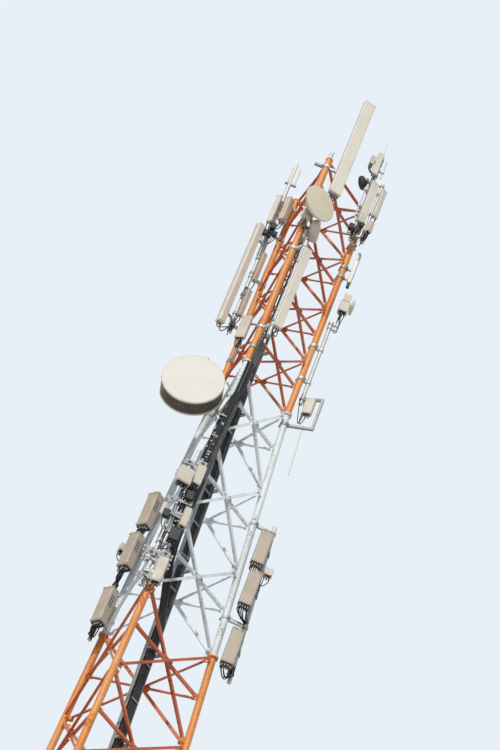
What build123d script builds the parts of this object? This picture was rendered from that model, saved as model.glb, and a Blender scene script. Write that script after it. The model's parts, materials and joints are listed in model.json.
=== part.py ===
from build123d import *
import os
from math import cos, hypot, radians, sin, sqrt

# Triangular lattice mast on three tube legs, with the antennas and radio gear that it carries.
# Millimetres, +Z up. The origin is on the underside of the near leg's base plate.

# Tower outline
base_width = 3900.0
top_width = 1120.0
base_section_height = 4750.0
white_section_height = 4500.0
top_section_height = 4550.0
leg_angles = {"near": -90.0, "right": 30.0, "left": 150.0}
sides = {"front_right": ("near", "right"), "rear": ("right", "left"), "front_left": ("left", "near")}

# Sections from the ground up: height, number of braced bays, leg tube, bracing angle
sections = (
    (base_section_height, 1, 139.7, 65.0),
    (base_section_height, 1, 139.7, 65.0),
    (base_section_height, 2, 114.3, 55.0),
    (base_section_height, 2, 114.3, 55.0),
    (white_section_height, 3, 101.6, 40.0),
    (white_section_height, 3, 101.6, 40.0),
    (top_section_height, 4, 101.6, 34.0),
)

# Legs, flanges and gusset plates
leg_flange_rim = 22.0
leg_cap_rim = 8.0
leg_flange_thickness = 20.0
gusset_thickness = 8.0
gusset_lap = 1.0
gusset_slope = 0.7
tab_height = 1.3
leg_stub_height = 170.0
leg_stub_diameter = 60.0
base_plate_size = 420.0
base_plate_thickness = 30.0
anchor_circle = 420.0
anchor_hole = 28.0
anchor_count = 4

# Bracing angles
angle_thickness = 6.0
bar_clearance = 12.0
strut_height_limit = 3000.0

# Fits, collars and arms
clamp_clearance = 0.3
clamp_wall = 12.0
clamp_height = 50.0
arm_size = 40.0
pipe_diameter = 60.0
pad_depth = 8.0
pad_width_limit = 60.0
one_bracket_span = 450.0
bracket_inset = 0.12
hub_plate_width = 110.0
hub_plate_depth = 16.0

# Cable ladder, inside the front right side
ladder_width = 180.0
ladder_rail_depth = 60.0
ladder_rail_thickness = 12.0
ladder_rung = 25.0
ladder_rung_pitch = 600.0
ladder_inset = 150.0
ladder_from_near_leg_top = 260.0
ladder_from_near_leg_base = 2080.0
ladder_low = 200.0
ladder_above_taper = 3300.0
cleat_size = 40.0
cleat_clearance = 0.7

# Feeder cables on the ladder's rungs; every second one goes on above the taper
cable_diameter = 28.0
cable_gap = 1.0
cable_low = 60.0
cable_bend = 900.0
feeder_count = 5
feeder_short_above_taper = 300.0

# Cables that come down the near leg, pass between it and a brace, and join the ladder's outer face
leg_cable_count = 4
leg_cable_pitch = 30.0
leg_cable_along = -5.0
leg_cable_out = 89.0
leg_cable_inner_along = 275.0
leg_cable_inner_out = -100.0
leg_cable_ladder_out = 47.0
leg_cable_crossing_bend = 600.0
hanger_size = 20.0
hanger_clearance = 1.2
hanger_every = 4

# Heights of everything on the tower are measured from here on from the top of the taper
leg_cable_high = 450.0
leg_cable_turn = -3650.0
leg_cable_inner = -4150.0
leg_cable_join = -4900.0
hanger_heights = (-3400.0, -2350.0, -1100.0, 300.0)

# Pipes beside the legs and parallel to them: leg, offset in x and y, lower and upper end, diameter
post_rows = {
    "front": ("near", 186, -103, 500, 2560, pipe_diameter),
    "top": ("near", 226, 66, 3600, 6030, pipe_diameter),
    "leg stub": ("near", 0, 0, top_section_height, top_section_height + leg_stub_height, leg_stub_diameter),
    "left": ("left", -170, -148, 1350, 4740, pipe_diameter),
    "flat box": ("left", 165, -408, 780, 1340, 42),
    "right": ("right", 118, 52, 300, 2080, pipe_diameter),
    "pole unit": ("right", 203, 79, 1900, 2640, 42),
    "corner": ("right", -2, -200, 3650, 5680, pipe_diameter),
    "outer": ("right", 155, -160, 3700, 5050, 50),
    "conduit": ("right", -57, -260, 4100, 4880, 25),
    "left radios": ("left", -137, -65, -4670, -1920, pipe_diameter),
    "right radios": ("right", 284, 123, -4770, -2000, pipe_diameter),
    "centre": ("near", -60, -170, -4730, -2100, pipe_diameter),
}

# Arms between a leg and a pipe, and between two pipes: both carriers and the heights
arm_rows = (
    ("near", "front", (720, 2460)),
    ("near", "top", (3720, 4360)),
    ("left", "left", (1500, 2560, 3590, 4300)),
    ("left", "flat box", (850,)),
    ("right", "right", (750, 1450)),
    ("right", "corner", (3720, 4230)),
    ("left", "left radios", (-4250, -2000)),
    ("right", "right radios", (-3815, -2120)),
    ("near", "centre", (-3890, -2700)),
)
pipe_arm_rows = (
    ("corner", "outer", (3790, 5020)),
    ("corner", "conduit", (4400, 4780)),
    ("corner", "top rod", (5330,)),
    ("right", "pole unit", (1950, 2040)),
)

# Housings: pipe, lower and upper end, azimuth of the front, width, depth, gap to the pipe,
# sideways shift, corner radius
housing_rows = {
    "front panel": ("front", 600, 2300, -50, 130, 75, 60, 20, 12),
    "top panel": ("top", 3750, 5930, -60, 190, 90, 55, 0, 15),
    "long panel": ("left", 1330, 3540, -125, 110, 115, 120, 0, 15),
    "beige panel low": ("left", 1650, 2210, -30, 80, 50, 50, 0, 8),
    "beige panel high": ("left", 2430, 3045, -30, 80, 50, 50, 0, 8),
    "beige box": ("left", 3830, 4350, -20, 130, 100, 60, 0, 12),
    "pale panel": ("left", 3720, 4340, -110, 90, 60, 45, 0, 8),
    "corner panel": ("corner", 4000, 4950, -45, 130, 60, 40, 0, 8),
    "tall panel": ("corner", 5130, 5620, -60, 90, 60, 15, -50, 8),
    "outer panel": ("outer", 4250, 4880, -30, 100, 50, 35, 0, 8),
    "outer box": ("outer", 3830, 4050, -30, 90, 90, 35, -50, 8),
    "corner box": ("corner", 5370, 5560, -150, 60, 70, 70, 0, 8),
    "flat box": ("flat box", 910, 1370, -100, 160, 60, 25, 0, 6),
    "frame box": ("frame stub", 20, 320, -92, 145, 80, 27, 20, 8),
    "pole unit low": ("pole unit", 2270, 2470, -72, 150, 100, 16, 0, 12),
    "pole unit high": ("pole unit", 2490, 2640, -72, 110, 80, 22, 0, 10),
    "centre box wide": ("centre", -2900, -2640, -60, 210, 130, 30, -70, 8),
    "centre box tall": ("centre", -2780, -2440, -60, 125, 95, 26, 110, 8),
    "centre box slim": ("centre", -3560, -3230, -60, 95, 80, 30, 172, 8),
    "centre box low": ("centre", -4690, -4280, -80, 135, 105, 30, 180, 8),
    "left radio 1": ("left radios", -4510, -3900, -120, 185, 155, 20, 145, 28),
    "left radio 2": ("left radios", -3500, -2890, -120, 185, 155, 20, 145, 28),
    "left radio 3": ("left radios", -2740, -2130, -120, 185, 155, 20, 145, 28),
    "left radio box": ("left radios", -3143, -3023, -150, 120, 90, 62, 0, 10),
    "right radio 1": ("right radios", -4590, -3990, -72, 190, 110, 45, -100, 28),
    "right radio 2": ("right radios", -3565, -2965, -72, 190, 110, 45, -100, 28),
    "right radio 3": ("right radios", -2827, -2227, -72, 190, 110, 45, -100, 28),
    "right radio box": ("right radios", -2921, -2801, -72, 120, 80, 20, 85, 10),
}

# Slim panel held by the right leg itself: its heights, front, size and the heights of its collars
thin_panel_low = 2930.0
thin_panel_high = 3590.0
thin_panel_azimuth = 5.0
thin_panel_size = (70.0, 60.0)
thin_panel_gap = 80.0
thin_panel_radius = 8.0
thin_panel_collars = (3000.0, 3210.0)

# Heights of brackets that other collars keep out of their usual places
bracket_heights = {
    "beige panel high": (2625, 2970),
    "beige box": (3990, 4220),
    "pale panel": (3800, 4130),
    "left radio 1": (-4140,),
    "left radio 2": (-3195,),
    "left radio 3": (-2435,),
    "right radio 1": (-4290,),
    "right radio 2": (-3265,),
    "right radio 3": (-2527,),
    "centre box low": (-4485,),
    "flat box": (1140,),
}

# Solids that share a piece
housing_groups = {
    "panel_antenna_top": ("top panel",),
    "panel_antenna_front": ("front panel",),
    "panel_antenna_left": ("long panel",),
    "panel_antennas_beige": ("beige panel low", "beige panel high", "beige box"),
    "panel_antennas_upper": ("pale panel", "corner panel", "tall panel", "outer panel"),
    "radio_units_left": ("left radio 1", "left radio 2", "left radio 3"),
    "radio_units_right": ("right radio 1", "right radio 2", "right radio 3"),
    "equipment_boxes": ("outer box", "corner box", "flat box", "frame box", "pole unit low", "pole unit high",
                        "centre box wide", "centre box tall", "centre box slim", "centre box low",
                        "left radio box", "right radio box"),
}
bracket_groups = {
    "panel_brackets": ("panel_antenna_top", "panel_antenna_front", "panel_antenna_left",
                       "panel_antennas_beige", "panel_antennas_upper"),
    "radio_brackets": ("radio_units_left", "radio_units_right"),
    "box_brackets": ("equipment_boxes",),
}

# Large drum antenna, beside the left leg: middle of its face, bearing and sizes
drum_from_left_leg = (-36.5, -1066.0, -594.0)
drum_azimuth = -80.0
drum_radius = 450.0
drum_depth = 255.0
drum_back = 60.0
drum_lip = 16.0
drum_lip_depth = 14.0
drum_hub_radius = 80.0
drum_hub_length = 40.0
drum_cover_thickness = 14.0
drum_cover_lip = 6.0
drum_post_diameter = 76.0
drum_post_gap = 40.0
drum_post_low = -800.0
drum_post_high = 250.0
drum_arm_heights = (-260.0, 195.0)
drum_arm_size = 50.0
drum_collar_reach = 1.6

# Round antennas: carrier, middle of the face from the leg, azimuth, radius, rim, back, hub radius,
# hub length, and the heights of their collars
round_rows = {
    "medium": ("near", 203, -233, 3300, -40, 292, 18, 160, 60, 30, (3200, 3610)),
    "small": ("near", 230, 88, 3005, 5, 175, 75, 75, 30, 30, (3005,)),
    "rear": ("right", -158, -251, 4930, 160, 115, 30, 50, 30, 30, (4950,)),
}
rear_antenna_pipe = "corner"

# Small round antenna on the flank of the unit at the right pipe's top
flank_radius = 125.0
flank_rim = 30.0
flank_back = 16.0
flank_hub_radius = 30.0
flank_hub_length = 10.0
flank_height = 2440.0

# Whips and rods: leg, offset in x and y, lower and upper end, diameter
whip_rows = {
    "frame whip": ("right", 280, -3, -1120, -150, 22),
    "corner whip": ("right", -2, -200, 5680, 6040, 14),
    "top rod": ("right", 88, -172, 5180, 5600, 25),
}
rod_plate_size = (190.0, 40.0, 20.0)
rod_plate_azimuth = 18.0
rod_plate_shift = 18.0
rod_rows = ((-45.0, 375.0, 28.0), (0.0, 495.0, 38.0), (75.0, 385.0, 30.0))

# Frame on the right leg: an arm, an upright and a top bar back to the slim pole
frame_arm_z = -200.0
frame_top_z = 400.0
frame_reach = 428.0
frame_azimuth = -2.0
frame_bar = 40.0
frame_stub = ("right", 270, 19, 60, 30)

taper_height = sum(section[0] for section in sections[:-1])
axis_offset = base_width / sqrt(3)
ladder_top = taper_height + ladder_above_taper


def face_width(z):
    if z >= taper_height:
        return top_width
    return base_width + (top_width - base_width) * z / taper_height


def leg_point(leg, z):
    radius = face_width(z) / sqrt(3)
    angle = radians(leg_angles[leg])
    return Vector(radius * cos(angle), radius * sin(angle), z)


def section_start(index):
    return sum(section[0] for section in sections[:index])


def leg_radius(z):
    index = 0
    while index < len(sections) - 1 and z >= section_start(index + 1):
        index += 1
    return sections[index][2] / 2


def rod(start, end, diameter):
    """Round bar between two points."""
    plane = Plane(origin=start, z_dir=end - start)
    length = (end - start).length
    return plane.location * Cylinder(diameter / 2, length, align=(Align.CENTER, Align.CENTER, Align.MIN))


def flat_bar(start, end, width, depth, side=None):
    """Rectangular bar between two points; width lies along side."""
    axis = end - start
    across = side if side else Vector(0, 0, 1).cross(axis)
    plane = Plane(origin=start, x_dir=across, z_dir=axis)
    return plane.location * Box(width, depth, axis.length, align=(Align.CENTER, Align.CENTER, Align.MIN))


def fuse(shapes):
    body = shapes[0]
    for shape in shapes[1:]:
        body = body + shape
    return body


def save(name, shapes):
    """Write the solids of one piece, moved from the tower's axis to the near leg's base plate."""
    solids = [solid for shape in shapes for solid in shape.solids()]
    moved = [Pos(0, axis_offset, 0) * solid for solid in solids]
    export_step(Compound(label=name, children=moved), f"parts/{name}.step")


class Side:
    """Local frame of one flat side over one section: x along the side, y up it, normal outward."""

    def __init__(self, index, legs):
        self.height, self.bays, self.tube, self.angle = sections[index]
        self.start = section_start(index)
        self.legs = legs
        low = (leg_point(legs[0], self.start) + leg_point(legs[1], self.start)) * 0.5
        high_z = self.start + self.height
        high = (leg_point(legs[0], high_z) + leg_point(legs[1], high_z)) * 0.5
        self.x_dir = (leg_point(legs[1], self.start) - leg_point(legs[0], self.start)).normalized()
        self.y_dir = (high - low).normalized()
        self.normal = self.x_dir.cross(self.y_dir).normalized()
        self.slope = (high - low).length / self.height
        self.origin = low

    def point(self, x, y, out=0.0):
        return self.origin + self.x_dir * x + self.y_dir * y + self.normal * out

    def half_width(self, y):
        return face_width(self.start + y / self.slope) / 2

    def levels(self):
        pitch = self.height * self.slope / self.bays
        return [number * pitch for number in range(self.bays + 1)]

    def inner_clearance(self):
        """Distance from a leg's axis at which an inside angle clears the next side's."""
        return (gusset_thickness / 2 + self.angle) * sqrt(3) + bar_clearance / 2

    def reach(self):
        return self.inner_clearance() + self.angle * gusset_lap

    def plate(self, x, y, width, height):
        plane = Plane(origin=self.point(x, y), x_dir=self.x_dir, z_dir=self.normal)
        return plane.location * Box(width, height, gusset_thickness)

    def angle_bar(self, start, end, outside):
        """Steel angle, its flat leg against the gussets and its other leg standing off them."""
        low = gusset_thickness / 2
        half = self.angle / 2
        sign = 1 if outside else -1
        along = Vector(*end) - Vector(*start)
        axis = (self.x_dir * along.X + self.y_dir * along.Y).normalized()
        across = axis.cross(self.normal).normalized()
        if across.Z > 0:
            across = across * -1
        profile = [(half, low), (-half, low), (-half, low + angle_thickness)]
        profile += [(half - angle_thickness, low + angle_thickness)]
        profile += [(half - angle_thickness, low + self.angle), (half, low + self.angle)]
        origin = self.point(*start)
        corners = [origin + across * u + self.normal * (v * sign) for u, v in profile]
        face = Face(Wire.make_polygon(corners, close=True))
        return Solid.extrude(face, axis * along.length)

    def trimmed(self, start, end, clear_start, clear_end):
        """Shorten a line so that its bar's corners stay a given distance from both legs' axes."""
        run = abs(end[0] - start[0])
        rise = end[1] - start[1]
        length = hypot(run, rise)
        corner = self.angle / 2 * abs(rise) / length
        step_x = (end[0] - start[0]) / run
        points = []
        for point, clear, sign in ((start, clear_start, 1), (end, clear_end, -1)):
            back = clear + corner if clear else 0.0
            points.append((point[0] + sign * step_x * back, point[1] + sign * rise * back / run))
        return points


def crossing_height(side, low, high):
    """Where the two diagonals of a bay cross: nearer the narrow end of a tapered bay."""
    wide = side.half_width(low)
    narrow = side.half_width(high)
    return low + (high - low) * wide / (wide + narrow)


def braced_bay(side, low, high):
    """Two crossed angles, a centre plate between them and a horizontal in two halves."""
    outer = side.tube / 2 + bar_clearance
    inner = side.inner_clearance()
    wide = side.half_width(low)
    narrow = side.half_width(high)
    middle = crossing_height(side, low, high)
    rising = side.trimmed((-wide, low), (narrow, high), outer, outer)
    falling = side.trimmed((wide, low), (-narrow, high), inner, inner)
    slope = (high - low) / (wide + narrow)
    lean = hypot(1, slope)
    gap = side.angle / 2 * lean / slope + side.angle / 2 / slope + bar_clearance
    plate_half = gap + side.angle
    shapes = [side.plate(0, middle, 2 * plate_half, 2.4 * side.angle)]
    shapes.append(side.angle_bar(*rising, outside=True))
    shapes.append(side.angle_bar(*falling, outside=False))
    end = side.half_width(middle) - inner
    for sign in (-1, 1):
        shapes.append(side.angle_bar((sign * gap, middle), (sign * end, middle), outside=False))
    if high - low > strut_height_limit:
        shapes += secondary_struts(side, low, high, middle)
    return fuse(shapes)


def strut_heights(low, high, middle):
    return ((low + middle) / 2, (middle + high) / 2)


def secondary_struts(side, low, high, middle):
    """Short struts of a tall bay, from each leg to the middle of the nearest half diagonal."""
    shapes = []
    for height in strut_heights(low, high, middle):
        end = side.half_width(low if height < middle else high) / 2
        inner = side.half_width(height) - side.inner_clearance()
        for sign in (-1, 1):
            rising = (sign < 0) == (height < middle)
            shapes.append(side.plate(sign * end, height, 2 * side.angle, 1.6 * side.angle))
            shapes.append(side.angle_bar((sign * end, height), (sign * inner, height), outside=not rising))
    return shapes


def side_bracing(index, legs):
    side = Side(index, legs)
    levels = side.levels()
    shapes = [braced_bay(side, low, high) for low, high in zip(levels, levels[1:])]
    if index == len(sections) - 1:
        end = side.half_width(levels[-1]) - side.inner_clearance()
        top = levels[-1] - side.angle / 2
        shapes.append(side.angle_bar((-end, top), (end, top), outside=False))
    return shapes


def gusset(side, leg_sign, y, height):
    """Plate welded to a leg in the plane of a side."""
    reach = side.reach()
    x = leg_sign * (side.half_width(y) - reach / 2)
    return side.plate(x, y, reach, height)


def leg_gussets(index, leg):
    """Plates of one leg over one section, for both sides that meet there."""
    shapes = []
    for legs in sides.values():
        if leg not in legs:
            continue
        side = Side(index, legs)
        sign = -1 if legs[0] == leg else 1
        reach = side.reach()
        half = reach * gusset_slope
        levels = side.levels()
        for low, high in zip(levels, levels[1:]):
            middle = crossing_height(side, low, high)
            foot = base_plate_thickness if index == 0 else 0.0
            shapes.append(gusset(side, sign, low + foot + half / 2 + leg_flange_thickness, half))
            shapes.append(gusset(side, sign, high - half / 2 - leg_flange_thickness, half))
            shapes.append(gusset(side, sign, middle, tab_height * side.angle))
            if high - low > strut_height_limit:
                for height in strut_heights(low, high, middle):
                    shapes.append(gusset(side, sign, height, tab_height * side.angle))
    return shapes


def leg_section(index, leg):
    """One leg tube with a flange at each end and its gusset plates."""
    height, bays, tube, angle = sections[index]
    start = section_start(index)
    low = leg_point(leg, start)
    high = leg_point(leg, start + height)
    half = leg_flange_thickness / 2
    run = high - low
    body = rod(low + run * (half / height), high - run * (half / height), tube)
    flange = Cylinder(tube / 2 + leg_flange_rim, leg_flange_thickness)
    lower = Pos(low.X, low.Y, start + half) * flange
    if index == len(sections) - 1:
        flange_top = Cylinder(tube / 2 + leg_cap_rim, leg_flange_thickness)
    else:
        flange_top = flange
    upper = Pos(high.X, high.Y, start + height - half) * flange_top
    if index == 0:
        lower = Pos(low.X, low.Y, start + base_plate_thickness + half) * flange
        body = rod(low + run * ((base_plate_thickness + half) / height), high - run * (half / height), tube)
    return fuse([body, lower, upper] + leg_gussets(index, leg))


def base_plate(leg):
    """Square foot plate with four anchor holes."""
    plate = Box(base_plate_size, base_plate_size, base_plate_thickness)
    holes = PolarLocations(anchor_circle / 2, anchor_count, start_angle=45)
    for place in holes:
        plate = plate - place * Cylinder(anchor_hole / 2, 2 * base_plate_thickness)
    foot = leg_point(leg, 0)
    return Pos(foot.X, foot.Y, base_plate_thickness / 2) * plate


def build_tower():
    save("base_plates", [base_plate(leg) for leg in leg_angles])
    for index in range(len(sections)):
        number = index + 1
        save(f"legs_section_{number}", [leg_section(index, leg) for leg in leg_angles])
        for name, legs in sides.items():
            save(f"bracing_{name}_{number}", side_bracing(index, legs))


def above(height):
    """Height over the ground of a height measured from the top of the taper."""
    return taper_height + height


class Post:
    """Round tube between two points, that collars can clamp."""

    def __init__(self, start, end, diameter):
        self.start = start
        self.end = end
        self.diameter = diameter
        self.axis = (end - start).normalized()

    def at(self, z):
        return self.start + (self.end - self.start) * ((z - self.start.Z) / (self.end.Z - self.start.Z))

    def solid(self):
        return rod(self.start, self.end, self.diameter)

    def cylinder(self, z, diameter, height):
        plane = Plane(origin=self.at(z), z_dir=self.axis)
        return plane.location * Cylinder(diameter / 2, height)

    def collar(self, z):
        return self.cylinder(z, self.diameter + 2 * clamp_wall, clamp_height)

    def bore(self, z):
        return self.cylinder(z, self.diameter + 2 * clamp_clearance, 2 * clamp_height)


def leg_post(leg, z):
    """The stretch of a leg around a height, as something to clamp."""
    return Post(leg_point(leg, z - 1), leg_point(leg, z + 1), 2 * leg_radius(z))


def post_beside(leg, dx, dy, low, high, diameter):
    """Pipe that runs beside a leg, parallel to it."""
    offset = Vector(dx, dy, 0)
    return Post(leg_point(leg, above(low)) + offset, leg_point(leg, above(high)) + offset, diameter)


def link(first, second, z, size=arm_size):
    """Horizontal arm with a collar at each end."""
    start = first.at(z)
    end = second.at(z)
    body = fuse([first.collar(z), second.collar(z), flat_bar(start, end, size, size)])
    return body - first.bore(z) - second.bore(z)


def facing(centre, azimuth):
    """Place for a shape modelled with its front towards -Y."""
    return Pos(centre.X, centre.Y, centre.Z) * Rot(0, 0, azimuth + 90)


def outward(azimuth):
    return Vector(cos(radians(azimuth)), sin(radians(azimuth)), 0)


def rounded_box(width, depth, height, radius):
    body = Box(width, depth, height)
    return fillet(body.edges().filter_by(Axis.Z), radius)


class Housing:
    """Upright box carried by a post: its place, its body and the brackets behind it."""

    def __init__(self, post, low, high, azimuth, width, depth, gap, shift=0.0, radius=8.0):
        self.post = post
        self.low = above(low)
        self.high = above(high)
        self.azimuth = azimuth
        self.width = width
        self.depth = depth
        self.shift = shift
        self.radius = radius
        self.back = post.diameter / 2 + gap
        out = outward(azimuth)
        self.sideways = Vector(-out.Y, out.X, 0)
        foot = post.at((self.low + self.high) / 2)
        self.centre = foot + out * (self.back + depth / 2) + self.sideways * shift

    def body(self):
        place = facing(self.centre, self.azimuth)
        return place * rounded_box(self.width, self.depth, self.high - self.low, self.radius)

    def bracket(self, z):
        """Collar on the post, an arm, and a pad flat against the housing's back."""
        out = outward(self.azimuth)
        foot = self.post.at(z)
        back = self.centre - out * (self.depth / 2)
        pad_width = min(self.width * 0.7, pad_width_limit) + abs(self.shift)
        pad_centre = Vector(back.X, back.Y, z) - out * (pad_depth / 2) - self.sideways * (self.shift / 2)
        pad = facing(pad_centre, self.azimuth) * Box(pad_width, pad_depth, clamp_height)
        run = (pad_centre - foot).dot(out)
        arm = flat_bar(foot, foot + out * run, arm_size * 0.7, arm_size * 0.7)
        return fuse([self.post.collar(z), arm, pad]) - self.post.bore(z)

    def brackets(self, heights=None):
        """Brackets at given heights, or near both ends of a tall housing and in the middle of a short one."""
        if heights:
            return [self.bracket(above(height)) for height in heights]
        span = self.high - self.low
        shares = (0.5,) if span < one_bracket_span else (bracket_inset, 1 - bracket_inset)
        return [self.bracket(self.low + span * share) for share in shares]


def turned(points, arcs=()):
    """Solid of revolution about the front axis, its profile in (radius, forward) pairs."""
    edges = []
    for number, (start, end) in enumerate(zip(points, points[1:] + points[:1])):
        first = Vector(start[0], 0, start[1])
        last = Vector(end[0], 0, end[1])
        middle = dict(arcs).get(number)
        if middle:
            edges.append(ThreePointArc(first, Vector(middle[0], 0, middle[1]), last))
        else:
            edges.append(Line(first, last))
    face = make_face(Wire(edges))
    return Rot(90, 0, 0) * revolve(face, Axis.Z, 360)


def beside_leg(leg, dx, dy, height):
    return leg_point(leg, above(height)) + Vector(dx, dy, 0)


def drum_antenna(centre):
    """Closed drum with a lip round its dished back, and the flat front cover."""
    back = -drum_depth
    rim = drum_radius + drum_lip
    points = [(0, 0), (drum_radius, 0), (drum_radius, back + drum_lip_depth)]
    points += [(rim, back + drum_lip_depth), (rim, back), (drum_radius * 0.96, back)]
    points += [(drum_hub_radius, back - drum_back), (drum_hub_radius, back - drum_back - drum_hub_length)]
    points += [(0, back - drum_back - drum_hub_length)]
    bulge = (drum_radius * 0.6, back - drum_back * 0.6)
    place = facing(centre, drum_azimuth)
    shroud = place * turned(points, ((5, bulge),))
    edge = drum_radius + drum_cover_lip
    cover_points = [(0, 0), (edge, 0), (edge, drum_cover_thickness * 0.6), (edge - 8, drum_cover_thickness)]
    cover_points += [(0, drum_cover_thickness)]
    return shroud, place * turned(cover_points)


def round_antenna(centre, azimuth, radius, rim, back, hub_radius, hub_length):
    """Dish seen from outside: rim, curved back, hub; and its domed front cover."""
    place = facing(centre, azimuth)
    end = -rim - back - hub_length
    points = [(0, 0), (radius, 0), (radius, -rim), (hub_radius, -rim - back), (hub_radius, end), (0, end)]
    bulge = ((radius + hub_radius) * 0.56, -rim - back * 0.62)
    dish = place * turned(points, ((2, bulge),))
    edge = radius - 3
    cover_points = [(0, 0), (edge, 0), (edge, 4), (edge * 0.6, 12), (0, 16)]
    return dish, place * turned(cover_points)


def hub_bracket(post, centre, azimuth, reach, heights):
    """Collars on a leg or pipe joined by a plate that takes an antenna's hub."""
    out = outward(azimuth)
    hub_face = centre - out * reach
    middle = (heights[0] + heights[-1]) / 2
    tall = heights[-1] - heights[0] + clamp_height
    plate_centre = Vector(hub_face.X, hub_face.Y, middle) - out * (hub_plate_depth / 2)
    foot = post.at(middle)
    run = (plate_centre - foot).dot(out)
    aside = plate_centre - foot - out * run
    plate_centre = plate_centre - aside * 0.5
    plate = Box(hub_plate_width + aside.length, hub_plate_depth, tall)
    shapes = [facing(plate_centre, azimuth) * plate]
    for height in heights:
        shapes.append(post.collar(height))
        start = post.at(height)
        shapes.append(flat_bar(start, start + out * run, arm_size, arm_size))
    body = fuse(shapes)
    for height in heights:
        body = body - post.bore(height)
    return body


def ladder_line(z):
    """Middle of the ladder at a height: beside the near leg at the top, further along at the base."""
    near = leg_point("near", z)
    along = ladder_across()
    share = min(z, taper_height) / taper_height
    distance = ladder_from_near_leg_base + (ladder_from_near_leg_top - ladder_from_near_leg_base) * share
    return near + along * distance + ladder_inward() * ladder_inset


def ladder_across():
    return (leg_point("right", 0) - leg_point("near", 0)).normalized()


def ladder_inward():
    across = ladder_across()
    return Vector(-across.Y, across.X, 0)


def ladder_part(low, high):
    """Two rails and the rungs between them, with cable hangers on some, over one straight stretch."""
    across = ladder_across()
    start = ladder_line(low)
    end = ladder_line(high)
    shapes = []
    for sign in (-1, 1):
        shift = across * (sign * ladder_width / 2)
        shapes.append(flat_bar(start + shift, end + shift, ladder_rail_thickness, ladder_rail_depth, across))
    half = across * (ladder_width / 2)
    for number in range(int((high - low) / ladder_rung_pitch)):
        centre = ladder_line(low + ladder_rung_pitch * (number + 0.5))
        shapes.append(flat_bar(centre - half, centre + half, ladder_rung, ladder_rung))
        if number % hanger_every == 0 and centre.Z < above(leg_cable_join):
            shapes.append(ladder_hanger(centre))
    return fuse(shapes)


def ladder_hanger(centre):
    """Block on a rung's outer face that the near leg's cables are tied to."""
    across = ladder_across()
    outer = leg_cable_ladder_out - cable_diameter / 2 - hanger_clearance
    middle = centre - ladder_inward() * (outer / 2)
    half = across * (leg_cable_count * leg_cable_pitch / 2)
    return flat_bar(middle - half, middle + half, outer, hanger_size, ladder_inward())


def ladder_cleats():
    """Short blocks from the horizontals of the front right side to the ladder's rails."""
    across = ladder_across()
    inward = ladder_inward()
    shapes = []
    for index in range(len(sections)):
        side = Side(index, sides["front_right"])
        levels = side.levels()
        for low, high in zip(levels, levels[1:]):
            middle = crossing_height(side, low, high)
            z = side.point(0, middle - side.angle / 2 + angle_thickness / 2).Z
            if z > ladder_top:
                continue
            tip = gusset_thickness / 2 + side.angle + cleat_clearance
            line = ladder_line(z) - inward * ladder_inset
            for sign in (-1, 1):
                rail = line + across * (sign * ladder_width / 2)
                end = rail + inward * (ladder_inset - ladder_rail_depth / 2 + 2)
                shapes.append(flat_bar(rail + inward * tip, end, cleat_size, cleat_size))
    return shapes


def cable(points, radii):
    """Round cable along straight runs joined by tangent arcs."""
    path = FilletPolyline(*points, radius=radii)
    start = Plane(origin=path @ 0, z_dir=path % 0)
    return sweep(start * Circle(cable_diameter / 2), path=path)


def feeder_cables():
    """Feeder cables side by side on the ladder's rungs, bent where the tower's taper ends."""
    across = ladder_across()
    lift = ladder_inward() * (ladder_rung / 2 + cable_diameter / 2 + cable_gap)
    pitch = (ladder_width - 2 * ladder_rail_thickness) / feeder_count
    cables = []
    for number in range(feeder_count):
        shift = across * ((number - (feeder_count - 1) / 2) * pitch) + lift
        high = ladder_top if number % 2 else above(feeder_short_above_taper)
        points = [ladder_line(z) + shift for z in (cable_low, taper_height, high)]
        cables.append(cable(points, cable_bend))
    return cables


def leg_cables():
    """Cables beside the near leg, across to the ladder's outer face and down it."""
    across = ladder_across()
    outside = ladder_inward() * -1
    cables = []
    for number in range(leg_cable_count):
        shift = across * (number * leg_cable_pitch)
        beside = shift + across * leg_cable_along + outside * leg_cable_out
        inner = shift + across * leg_cable_inner_along + outside * leg_cable_inner_out
        row = across * ((number - (leg_cable_count - 1) / 2) * leg_cable_pitch)
        on_ladder = row + outside * leg_cable_ladder_out
        heights = (above(leg_cable_high), taper_height, above(leg_cable_turn))
        points = [leg_point("near", z) + beside for z in heights]
        points.append(leg_point("near", above(leg_cable_inner)) + inner)
        points += [ladder_line(z) + on_ladder for z in (above(leg_cable_join), cable_low)]
        crossing = leg_cable_crossing_bend
        cables.append(cable(points, [cable_bend, crossing, crossing, cable_bend]))
    return cables


def leg_hanger(height):
    """Collar on the near leg with a plate behind the leg cables."""
    across = ladder_across()
    outside = ladder_inward() * -1
    leg = leg_post("near", above(height))
    depth = leg_cable_out - cable_diameter / 2 - hanger_clearance - hanger_size / 2
    first = leg.at(above(height)) + outside * depth + across * (leg_cable_along - leg_cable_pitch / 2)
    last = first + across * (leg_cable_count * leg_cable_pitch)
    plate = flat_bar(first, last, hanger_size, clamp_height, outside)
    return fuse([leg.collar(above(height)), plate]) - leg.bore(above(height))


def side_frame(pole, whip):
    """Arm and upright out from the right leg, with a top bar back to the slim pole."""
    out = outward(frame_azimuth)
    low = above(frame_arm_z)
    high = above(frame_top_z)
    leg = leg_post("right", low)
    foot = leg.at(low)
    end = foot + out * frame_reach
    half = Vector(0, 0, frame_bar / 2)
    upright_low = Vector(end.X, end.Y, low) - half
    upright_high = Vector(end.X, end.Y, high) + half
    shapes = [leg.collar(low), whip.collar(low), flat_bar(foot, end, frame_bar, frame_bar)]
    shapes.append(flat_bar(upright_low, upright_high, frame_bar, frame_bar, out))
    shapes.append(flat_bar(pole.at(high), upright_high - half, frame_bar, frame_bar))
    shapes.append(pole.collar(high))
    return fuse(shapes) - leg.bore(low) - whip.bore(low) - pole.bore(high)


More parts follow.
